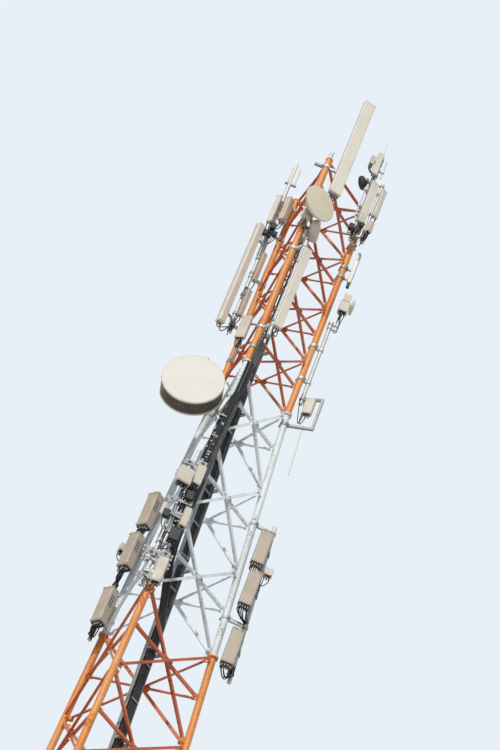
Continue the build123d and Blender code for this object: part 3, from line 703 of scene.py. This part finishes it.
# What counts as one point, as a corner and as a level edge of a CAD solid
merge_distance = 0.00001
corner_angle = 0.8
level_tolerance = 0.0001
shortest_edge = 0.015


def solids_of(name):
    """The separate solids of a CAD node, lowest first: the points and the level edges of each."""
    mesh = bmesh.new()
    mesh.from_mesh(bpy.data.objects[name].data)
    bmesh.ops.remove_doubles(mesh, verts=mesh.verts, dist=merge_distance)
    left = set(mesh.verts)
    found = []
    while left:
        group = [left.pop()]
        for vert in group:
            for edge in vert.link_edges:
                other = edge.other_vert(vert)
                if other in left:
                    left.remove(other)
                    group.append(other)
        edges = {edge for vert in group for edge in vert.link_edges}
        corners = [edge for edge in edges if edge.calc_face_angle(0.0) > corner_angle]
        runs = [edge.verts[1].co - edge.verts[0].co for edge in corners]
        level = [run for run in runs if abs(run.z) < level_tolerance and run.length > shortest_edge]
        found.append(([vert.co.copy() for vert in group], level))
    mesh.free()
    return sorted(found, key=lambda solid: min(point.z for point in solid[0]))


usual_front = -70.0
post_margin = 0.3


class Case:
    """An upright housing of the CAD model: its axes, middle and half sizes."""

    def __init__(self, solid, front=usual_front):
        points, level = solid
        longest = max(level, key=lambda run: run.length)
        base = degrees(atan2(longest.y, longest.x))
        turns = [base + 90 * number for number in range(4)]
        azimuth = min(turns, key=lambda turn: abs((turn - front + 180) % 360 - 180))
        self.out = outward(azimuth)
        self.side = up.cross(self.out)
        self.centre = Vector((0, 0, 0))
        spans = []
        for axis in (self.side, self.out, up):
            values = [point.dot(axis) for point in points]
            spans.append((max(values) - min(values)) / 2)
            self.centre += axis * ((max(values) + min(values)) / 2)
        self.width, self.depth, self.height = spans

    def spot(self, side, out, height):
        """Point at shares of the half sizes from the middle."""
        level_part = self.side * (side * self.width) + self.out * (out * self.depth)
        return self.centre + level_part + up * (height * self.height)

    def slab(self, maker, share, lift, shares, extra, height, edge):
        """Flat block across the housing; shares give its size as parts of the half sizes."""
        size = (shares[0] * self.width + extra, shares[1] * self.depth + extra, height)
        maker.block(self.spot(0, 0, share) + up * lift, self.side, self.out, size, edge)

    def moved(self, move):
        """The same housing in another place."""
        other = copy(self)
        other.centre = self.centre + move
        return other

    def distance(self, post):
        return (post_point(post, self.centre.z) - self.centre).length

    def nearest_post(self):
        z = self.centre.z
        beside = [name for name, post in posts.items()
                  if post.low - post_margin < z < post.high + post_margin]
        return min(beside, key=self.distance, default="right")


# Small metal parts and cables of all groups, each collected in one piece, and their random numbers
metal = Maker()
cables = Maker()
rng = random.Random(7)
vary = rng.uniform

# Sockets and plugs as (radius, distance) pairs, and the cables from the plugs
socket_profile = ((0.013, 0.0), (0.013, 0.012), (0.01, 0.013), (0.01, 0.028))
plug_profile = ((0.011, 0.0), (0.011, 0.022), (0.008, 0.034))
plug_drop = 0.022
cable_start = 0.045
cabled_share = 0.75
jumper_slack = 0.05
jumper_lead = 0.035
pipe_gap = 0.002


def jumper(start, name, drop, radius):
    """Cable from a plug in a drip loop to a pipe, then down it, or up where it ends higher."""
    post = posts[name]
    away = start - post_point(name, start.z)
    away.z = 0
    away.normalize()
    low = start.z - jumper_slack - vary(0.02, 0.06)
    beside = Matrix.Rotation(radians(vary(-70, 70)), 3, "Z") @ away
    clear = post.radius + radius + pipe_gap
    points = [start, start - up * jumper_lead]
    if low > post.low + 0.08:
        meet = low - 0.01
        points.append((start + post_point(name, low)) / 2 + away * 0.02 - up * (start.z - low) * 0.7)
        stops = ((meet, 0.004), (meet - 0.05, 0.0), (max(meet - drop, post.low + 0.01), 0.0))
    else:
        meet = max(start.z, post.low + 0.03)
        points.append(start.lerp(post_point(name, start.z), vary(0.2, 0.55))
                      + beside * vary(-0.03, 0.05) - up * vary(0.06, 0.14))
        stops = ((meet, 0.012), (meet + 0.05, 0.0), (meet + 0.16, 0.0))
    points += [post_point(name, height) + beside * (clear + gap) for height, gap in stops]
    cables.cable(points, radius, 4, 6)


def connectors(case, count, drop, radius=0.008, spread=0.62):
    """Row of sockets under a housing with their plugs, and a cable from most of them."""
    post = case.nearest_post()
    for number in range(count):
        share = (number / (count - 1) * 2 - 1) * spread
        place = case.spot(share, vary(-0.15, 0.15), -1)
        metal.turned(place + up * 0.003, -up, socket_profile, 10)
        cables.turned(place - up * plug_drop, -up, plug_profile, 8)
        if rng.random() < cabled_share:
            jumper(place - up * cable_start, post, drop * vary(0.7, 1.1), radius)


# Panel antennas with the number of their sockets
panel_sockets = {"panel_antenna_top": 4, "panel_antenna_front": 3, "panel_antenna_left": 3,
                 "panel_antennas_beige": 2, "panel_antennas_upper": 2}
cap_height = 0.03
cap_sink = 0.011
cap_overlap = 0.005
seam_size = (0.007, 0.003)
far_from_post = 0.4


def panel_details():
    """End caps, side seams, and sockets with cables or a dark block, on panel antennas."""
    for node, count in panel_sockets.items():
        slot = "radome_beige" if node == "panel_antennas_beige" else "radome"
        caps = Maker()
        for solid in solids_of(node):
            case = Case(solid)
            for end in (-1, 1):
                case.slab(caps, end, -end * cap_sink, (2, 2), cap_overlap, cap_height, 0.01)
            for side in (-1, 1):
                seam = case.spot(side, -0.25, 0)
                reach = up * (case.height - cap_height)
                cables.bar(seam - reach, seam + reach, *seam_size, case.out)
            if case.distance(case.nearest_post()) > far_from_post:
                case.slab(cables, -1, -0.055, (1.5, 1.5), 0.0, 0.1, 0.008)
            else:
                connectors(case, count, 0.3)
        caps.finish(node + "_caps", slot, smooth=True)


# Radio units: the way that each group faces, and their small parts
radio_fronts = {"radio_units_left": -120, "radio_units_right": -72}
rim_height = 0.01
rim_overlap = 0.004
fin_count = 9
fin_width = 0.004
fin_depth = 0.018
handle_radius = 0.004
handle_lift = 0.018


def radio_shell(shell, case):
    """Rims, cooling fins and the two handles of a radio unit."""
    for end in (-0.93, 0.93):
        case.slab(shell, end, 0.0, (2, 2), rim_overlap, rim_height, 0.029)
    for number in range(fin_count):
        share = -0.8 + 0.2 * number
        back = case.out * (fin_depth / 2)
        shell.bar(case.spot(share, -1, -0.85) - back, case.spot(share, -1, 0.85) - back,
                  fin_width, fin_depth, case.side)
    for middle in (-0.5, 0.5):
        shape = ((-0.12, 0.002), (-0.12, handle_lift), (0.12, handle_lift), (0.12, 0.002))
        shell.tube([case.spot(middle + shift, 1, 0.93) + case.out * lift for shift, lift in shape],
                   handle_radius, 6)


def radio_slots_and_painted_shade(dark, case):
    """Slots in the side of a radio unit, and a black slab under it as painted shade of its recessed
    underside.
    """
    for share in (-0.15, 0.35):
        place = case.spot(1, share, 0.24)
        dark.bar(place - up * 0.1, place + up * 0.1, 0.014, 0.006, case.out)
    # Black slab under the unit: painted shade of the recessed underside
    back = case.moved(case.out * (-0.1 * case.depth))
    back.slab(dark, -1, -0.016, (1.72, 1.5), 0.0, 0.034, 0.006)


def radio_details():
    """All small parts and cables of the radio units."""
    for node, front in radio_fronts.items():
        shell = Maker()
        dark = Maker()
        for solid in solids_of(node):
            case = Case(solid, front)
            radio_shell(shell, case)
            radio_slots_and_painted_shade(dark, case)
            under = case.moved(up * -0.033)
            connectors(under, 6, 0.34, 0.009, 0.75)
            front_row = under.moved(case.out * (case.depth * 0.45))
            connectors(front_row, 4, 0.22, 0.007, 0.6)
        shell.finish(node + "_ribs", "radio_housing", smooth=True)
        # Slots, and the black slabs of painted shade under the units
        dark.finish(node + "_sockets", "cable_black")


def box_details():
    """Lids with screws, dark undersides and cables of the equipment boxes."""
    lids = Maker()
    dark = Maker()
    for solid in solids_of("equipment_boxes"):
        case = Case(solid)
        lid_size = (1.88 * case.width, 1.9 * case.height, 0.006)
        lids.block(case.spot(0, 1, 0) + case.out * 0.002, case.side, up, lid_size, 0.003)
        for side in (-0.82, 0.82):
            for height in (-0.84, 0.84):
                metal.bolt(case.spot(side, 1, height) + case.out * 0.004, case.out, 0.005)
        case.slab(dark, -1, -0.008, (1.5, 1.3), 0.0, 0.02, 0.004)
        connectors(case.moved(up * -0.018), 3, 0.24, 0.007, 0.6)
    lids.finish("box_lids", "equipment_box")
    dark.finish("box_undersides", "cable_black")


# Cable ladder: how far its middle is from the near leg, low down and at the taper's top
ladder_low = 2.08
ladder_top = 0.26
ladder_depth = 0.15
ladder_side = (leg_point("right", 0) - leg_point("near", 0)).normalized()
ladder_inward = up.cross(ladder_side)


def ladder_point(z, along, out=0.0):
    """Point beside the middle of the cable ladder."""
    share = min(z, top_of_taper) / top_of_taper
    distance = ladder_low + (ladder_top - ladder_low) * share
    return leg_point("near", z) + ladder_side * (distance + along) + ladder_inward * (ladder_depth - out)


# Loose cables on the near leg: how far across and out each one lies
loose_cables = ((-0.046, 0.118), (-0.018, 0.118), (0.008, 0.136), (0.034, 0.136), (-0.03, 0.088))
loose_radius = 0.0125
ladder_lift = 0.078
ladder_pitch = 0.026


def loose_cable(number):
    """Path from behind the near leg, down its front and over to the ladder."""
    across, out = loose_cables[number]
    spread = 0.02 * number - 0.04
    lane = -0.095 + ladder_pitch * number
    beside_leg = near_step(across, out)
    points = []
    for height, share in ((27.95, 0.0), (27.3, 0.0), (26.95, 0.75)):
        hidden = leg_point("near", height) + Vector((0.08 + spread, -0.05 + spread * 0.5, 0))
        points.append(hidden.lerp(leg_point("near", height) + beside_leg, share))
    z = 26.6
    while z > 24.5:
        sway = near_step(across + vary(-0.006, 0.006), out + vary(0, 0.008))
        points.append(leg_point("near", z) + sway)
        z -= vary(0.35, 0.6)
    for height, share in ((24.25, 0.22), (23.85, 0.62), (23.3, 0.96)):
        leg_side = leg_point("near", height) + beside_leg
        points.append(leg_side.lerp(ladder_point(height, lane, ladder_lift), share))
    return points + [ladder_point(height, lane, ladder_lift) for height in (22.9, 20.0, 15.0, 10.0, 5.0, 0.6)]


def ladder_ties():
    """Bars over the cables on the ladder, and bolts through its rails."""
    z = 0.9
    while z < 31.0:
        if z < 28.0:
            first, last, out = (-0.115, 0.035, 0.096) if z < 23.0 else (-0.075, 0.075, -0.045)
            metal.bar(ladder_point(z, first, out), ladder_point(z, last, out), 0.02, 0.004, up)
        for sign in (-1, 1):
            rail = ladder_point(z, sign * 0.079)
            metal.bolt(rail + ladder_side * (sign * 0.013), ladder_side * sign, 0.008)
        z += 0.6


def leg_ties():
    """Clamps of uneven width over the loose cables on the near leg."""
    for number, height in enumerate((24.55, 25.0, 25.42, 25.95, 26.28, 26.7)):
        leg = leg_point("near", height)
        left = -0.064 if number % 3 else -0.01
        metal.bar(leg + near_step(left, 0.152), leg + near_step(0.052, 0.152), 0.022, 0.005, up, 0.001)
        metal.bolt(leg + near_step(0.04, 0.152), near_front, 0.009)


def bundle_details():
    """Loose cables over the near leg and the ladder, their ties and clamps."""
    for number in range(len(loose_cables)):
        cables.cable(loose_cable(number), loose_radius, 3, 7)
    ladder_ties()
    leg_ties()


def hanger_blocks():
    """Uneven clamp blocks with bolts on the loose cables of the near leg."""
    for number in range(30):
        height = 24.45 + 0.078 * number + vary(-0.03, 0.03)
        place = leg_point("near", height) + near_step(vary(-0.045, 0.035), 0.14)
        size = (vary(0.02, 0.045), vary(0.018, 0.05), 0.022)
        metal.block(place, near_side, up, size, 0.003)
        metal.bolt(place + near_front * 0.01, near_front, 0.007)


# Cables behind the legs: post, heights where they leave it for the arm, and their layer on the leg
trunk_rows = (("left", 4.1, 1.5, 0), ("left radios", -2.1, -4.25, 1), ("right", 2.0, 0.75, 1),
              ("corner", 4.9, 3.72, 0), ("right radios", -2.2, -3.815, 2))
trunk_radius = 0.0095
layer_pitch = 0.024
trunk_stops = (27.8, 20.0, 14.0, 9.0, 4.0)
trunk_end = 0.5

# Hangers of those cables: the heights where each layer of cables joins the leg
trunk_joins = {"left": (29.4, 23.6), "right": (31.6, 28.6, 24.0)}
hanger_start = 1.0
hanger_pitch = 1.5
behind = outward(108)
behind_side = up.cross(behind)


def trunk_cable(name, high, arm, layer, sign):
    """Path down a post, along an arm to the leg, and down the back of the leg."""
    post = posts[name]
    aside = up.cross(Vector((-post.dx, -post.dy, 0)).normalized())
    beside = behind * (post.radius + 0.011) + behind_side * (sign * 0.0105)
    points = [post_point(name, above(height)) + beside for height in (high, (high + arm) / 2, arm + 0.12)]
    arm_z = above(arm + 0.05)
    points.append((post_point(name, arm_z) + leg_point(post.leg, arm_z)) / 2 + beside * 0.6)
    z = above(arm - 0.15)
    points.append(leg_point(post.leg, z + 0.12) + aside * (sign * (leg_radius(z) + 0.02)) + behind * 0.04)
    for height in [z - 0.2] + [stop for stop in trunk_stops if stop < z - 1.0] + [trunk_end]:
        reach = leg_radius(height) + 0.036 + layer_pitch * layer
        points.append(leg_point(post.leg, height) + behind * reach + behind_side * (sign * 0.011))
    return points


def trunk_cables():
    """Cables in pairs from each group of antennas to the ground, and their hangers."""
    for name, high, arm, layer in trunk_rows:
        for sign in (-1, 1):
            cables.cable(trunk_cable(name, high, arm, layer, sign), trunk_radius, 3, 6)
    for leg, joins in trunk_joins.items():
        z = hanger_start
        while z < joins[0]:
            layers = sum(1 for join in joins if join > z)
            start = leg_point(leg, z) + behind * (leg_radius(z) - 0.004)
            end = leg_point(leg, z) + behind * (leg_radius(z) + 0.026 + layer_pitch * layers)
            metal.bar(start, end, 0.026, 0.02, up)
            metal.bar(end - behind_side * 0.03, end + behind_side * 0.03, 0.026, 0.004, up)
            z += hanger_pitch


# Drum antenna: the way it faces, its cover from the left leg, its depth and the hoops round it
drum_azimuth = -80
drum_height = -0.594
drum_offset = Vector((-0.0365, -1.066, 0))
drum_depth = 0.255
front_band = ((0.444, 0.0), (0.4585, 0.0), (0.4585, 0.02), (0.452, 0.026), (0.444, 0.0275))
back_band = ((0.4475, -0.002), (0.4675, -0.002), (0.4675, 0.016), (0.4475, 0.018))
clip_count = 24
clip_radius = 0.46
clip_size = (0.005, 0.034, 0.018)


def drum_details():
    """Bright bands round the drum's cover and back lip, and the clips on its rim."""
    out = outward(drum_azimuth)
    side = up.cross(out)
    centre = leg_point("left", above(drum_height)) + drum_offset
    band = Maker()
    band.turned(centre - out * 0.012, out, front_band, 96, hoop=True)
    band.turned(centre - out * drum_depth, out, back_band, 96, hoop=True)
    band.finish("drum_bands", "radome", smooth=True)
    for number in range(clip_count):
        turn = radians(number * 360 / clip_count)
        away = side * cos(turn) + up * sin(turn)
        metal.block(centre + away * clip_radius - out * 0.01, away, out, clip_size, 0.001)
        metal.bolt(centre + away * (clip_radius + 0.0025) - out * 0.016, away, 0.006)


# Round antennas on the near leg: place from the leg, height, azimuth, radius, rim depth and back depth
Dish = namedtuple("Dish", "dx dy height azimuth radius rim back")
dishes = (Dish(0.203, -0.233, 3.3, -40, 0.292, 0.018, 0.16),
          Dish(0.23, 0.088, 3.005, 5, 0.175, 0.075, 0.075))
dish_radio_size = (0.15, 0.17, 0.07)
dish_cable = 0.008


def dish_frame(rims, dish, centre, out, side):
    """Rim hoop of a round antenna and the three struts to its hub."""
    inside = dish.radius - 0.006
    outside = dish.radius + 0.004
    rim_profile = ((inside, -0.006), (outside, -0.006), (outside, 0.006), (inside, 0.008))
    rims.turned(centre - out * (dish.rim * 0.5), out, rim_profile, 64, hoop=True)
    for number in range(3):
        turn = radians(90 + number * 120)
        away = side * cos(turn) + up * sin(turn)
        metal.bar(centre + away * (dish.radius * 0.8) - out * (dish.rim + dish.back * 0.35),
                  centre + away * 0.05 - out * (dish.rim + dish.back + 0.02), 0.02, 0.008, away.cross(out))


def dish_radio(units, dish, unit, out, side):
    """Radio with fins behind a round antenna, its feed tube and its cable."""
    units.block(unit, side, up, dish_radio_size, 0.01)
    for number in range(7):
        fin = unit + side * (-0.06 + 0.02 * number) - out * 0.045
        units.block(fin, side, up, (0.005, 0.15, 0.026), 0.001)
    metal.tube([unit + up * 0.08, unit + up * 0.17 + out * 0.02], 0.018, 10)
    z = above(dish.height)
    cables.cable([unit - up * 0.085, unit - up * 0.16, unit - up * 0.24 - out * 0.06,
                  leg_point("near", z - 0.4) + out * 0.068,
                  leg_point("near", z - 0.7) + out * 0.068], dish_cable, 4, 6)


def round_antenna_details():
    """Small parts of the round antennas on the near leg."""
    rims = Maker()
    units = Maker()
    for dish in dishes:
        out = outward(dish.azimuth)
        side = up.cross(out)
        centre = leg_point("near", above(dish.height)) + Vector((dish.dx, dish.dy, 0))
        dish_frame(rims, dish, centre, out, side)
        unit = centre - out * (dish.rim + dish.back + 0.02) - up * 0.17 - side * 0.02
        dish_radio(units, dish, unit, out, side)
    rims.finish("dish_rims", "antenna_metal", smooth=True)
    units.finish("dish_radios", "antenna_metal")


# Cross bars on the centre post: height from the top of the taper, width and shift
cross_bars = ((-2.44, 0.34, 0.0), (-2.62, 0.36, 0.0), (-3.12, 0.3, 0.05), (-3.34, 0.34, 0.08),
              (-4.1, 0.42, 0.04), (-4.26, 0.4, 0.06), (-4.56, 0.3, 0.04))
# Small dark units: post, height from the top of the taper, shift and size
small_units = (("left", 3.66, 0.02, 0.13), ("left", 3.48, -0.06, 0.11), ("left", 3.52, 0.09, 0.1),
               ("corner", 3.86, -0.06, 0.12), ("corner", 3.98, 0.07, 0.1), ("outer", 3.74, 0.02, 0.09),
               ("left", 1.42, 0.03, 0.1), ("centre", -3.78, 0.15, 0.2), ("centre", -3.02, 0.13, 0.15),
               ("centre", -3.46, -0.07, 0.13))
# Plates with dark squares on the centre post: height from the top of the taper and shift
square_plates = ((-2.42, -0.06), (-2.36, 0.116), (-4.18, -0.043), (-4.12, 0.143), (-3.12, 0.142))
unit_plug = ((0.009, 0.0), (0.009, 0.02))
plate_size = (0.125, 0.085, 0.012)
square_size = (0.05, 0.044, 0.006)


def add_cross_bars():
    """Pairs of bars across the centre post with long bolts through them."""
    for height, width, shift in cross_bars:
        centre = post_point("centre", above(height)) + near_side * shift
        for sign in (-1, 1):
            ends = [centre + near_step(end * width / 2, sign * 0.04) for end in (-1, 1)]
            metal.bar(*ends, 0.04, 0.008, up, 0.001)
        for share in (-0.42, -0.2, 0.2, 0.42):
            place = centre + near_side * (width * share)
            metal.tube([place - near_front * 0.06, place + near_front * 0.062], 0.006, 6)
            metal.bolt(place + near_front * 0.044, near_front, 0.012)


def add_small_units(dark):
    """Dark units with fins, a foot on the post, and two plugs with cables each."""
    for name, height, shift, size in small_units:
        centre = post_point(name, above(height)) + near_step(shift, 0.075)
        dark.block(centre, near_side, up, (size * 0.75, size, size * 0.6), 0.008)
        for number in range(5):
            fin = centre + near_step(size * 0.14 * (number - 2), size * 0.32)
            dark.block(fin, near_side, up, (0.005, size * 0.86, 0.02), 0.001)
        metal.bar(centre - near_front * 0.03, centre - near_front * 0.075, 0.03, 0.03, up)
        for sign in (-1, 1):
            start = centre - up * (size / 2) + near_side * (sign * size * 0.2)
            metal.turned(start, -up, unit_plug, 8)
            jumper(start - up * 0.015, name, 0.3, 0.007)


def add_plates(dark):
    """Bolted plates, each with a dark square in the middle."""
    for height, shift in square_plates:
        plate = post_point("centre", above(height)) + near_step(shift, 0.066)
        metal.block(plate, near_side, up, plate_size, 0.003)
        dark.block(plate + near_front * 0.007, near_side, up, square_size)
        for sign in (-1, 1):
            metal.bolt(plate + near_step(sign * 0.044, 0.006), near_front, 0.009)


def add_stay_and_arm():
    """Stay from the drum to the near leg, and a short arm at the top of that leg."""
    drum_side_point = Vector((-0.19, 1.7, above(-0.38)))
    stay_end = leg_point("near", above(-0.8)) + near_step(0.02, 0.062)
    metal.tube([drum_side_point, stay_end], 0.014, 8)
    metal.block(stay_end, near_side, up, (0.1, 0.05, 0.02), 0.004)
    arm = leg_point("near", above(4.36))
    metal.bar(arm - near_side * 0.06, arm - near_side * 0.19, 0.045, 0.045, up, 0.003)
    metal.bar(arm + near_step(0.05, 0.05), arm + near_step(-0.06, 0.05), 0.03, 0.008, up, 0.001)


def fittings():
    """Odd parts around the posts."""
    dark = Maker()
    add_cross_bars()
    add_small_units(dark)
    add_plates(dark)
    dark.finish("small_units", "cable_black")
    add_stay_and_arm()


make_camera()
make_sun()
make_world()
make_floor()
dress_nodes()

# The groups share one row of random numbers, so their order matters
lattice_bolts()
flange_bolts()
clamp_ears()
panel_details()
radio_details()
box_details()
bundle_details()
trunk_cables()
drum_details()
round_antenna_details()
fittings()
hanger_blocks()
metal.finish("small_fittings", "galvanised")
cables.finish("jumper_cables", "cable_black", smooth=True)

bpy.context.scene.view_settings.view_transform = "Standard"
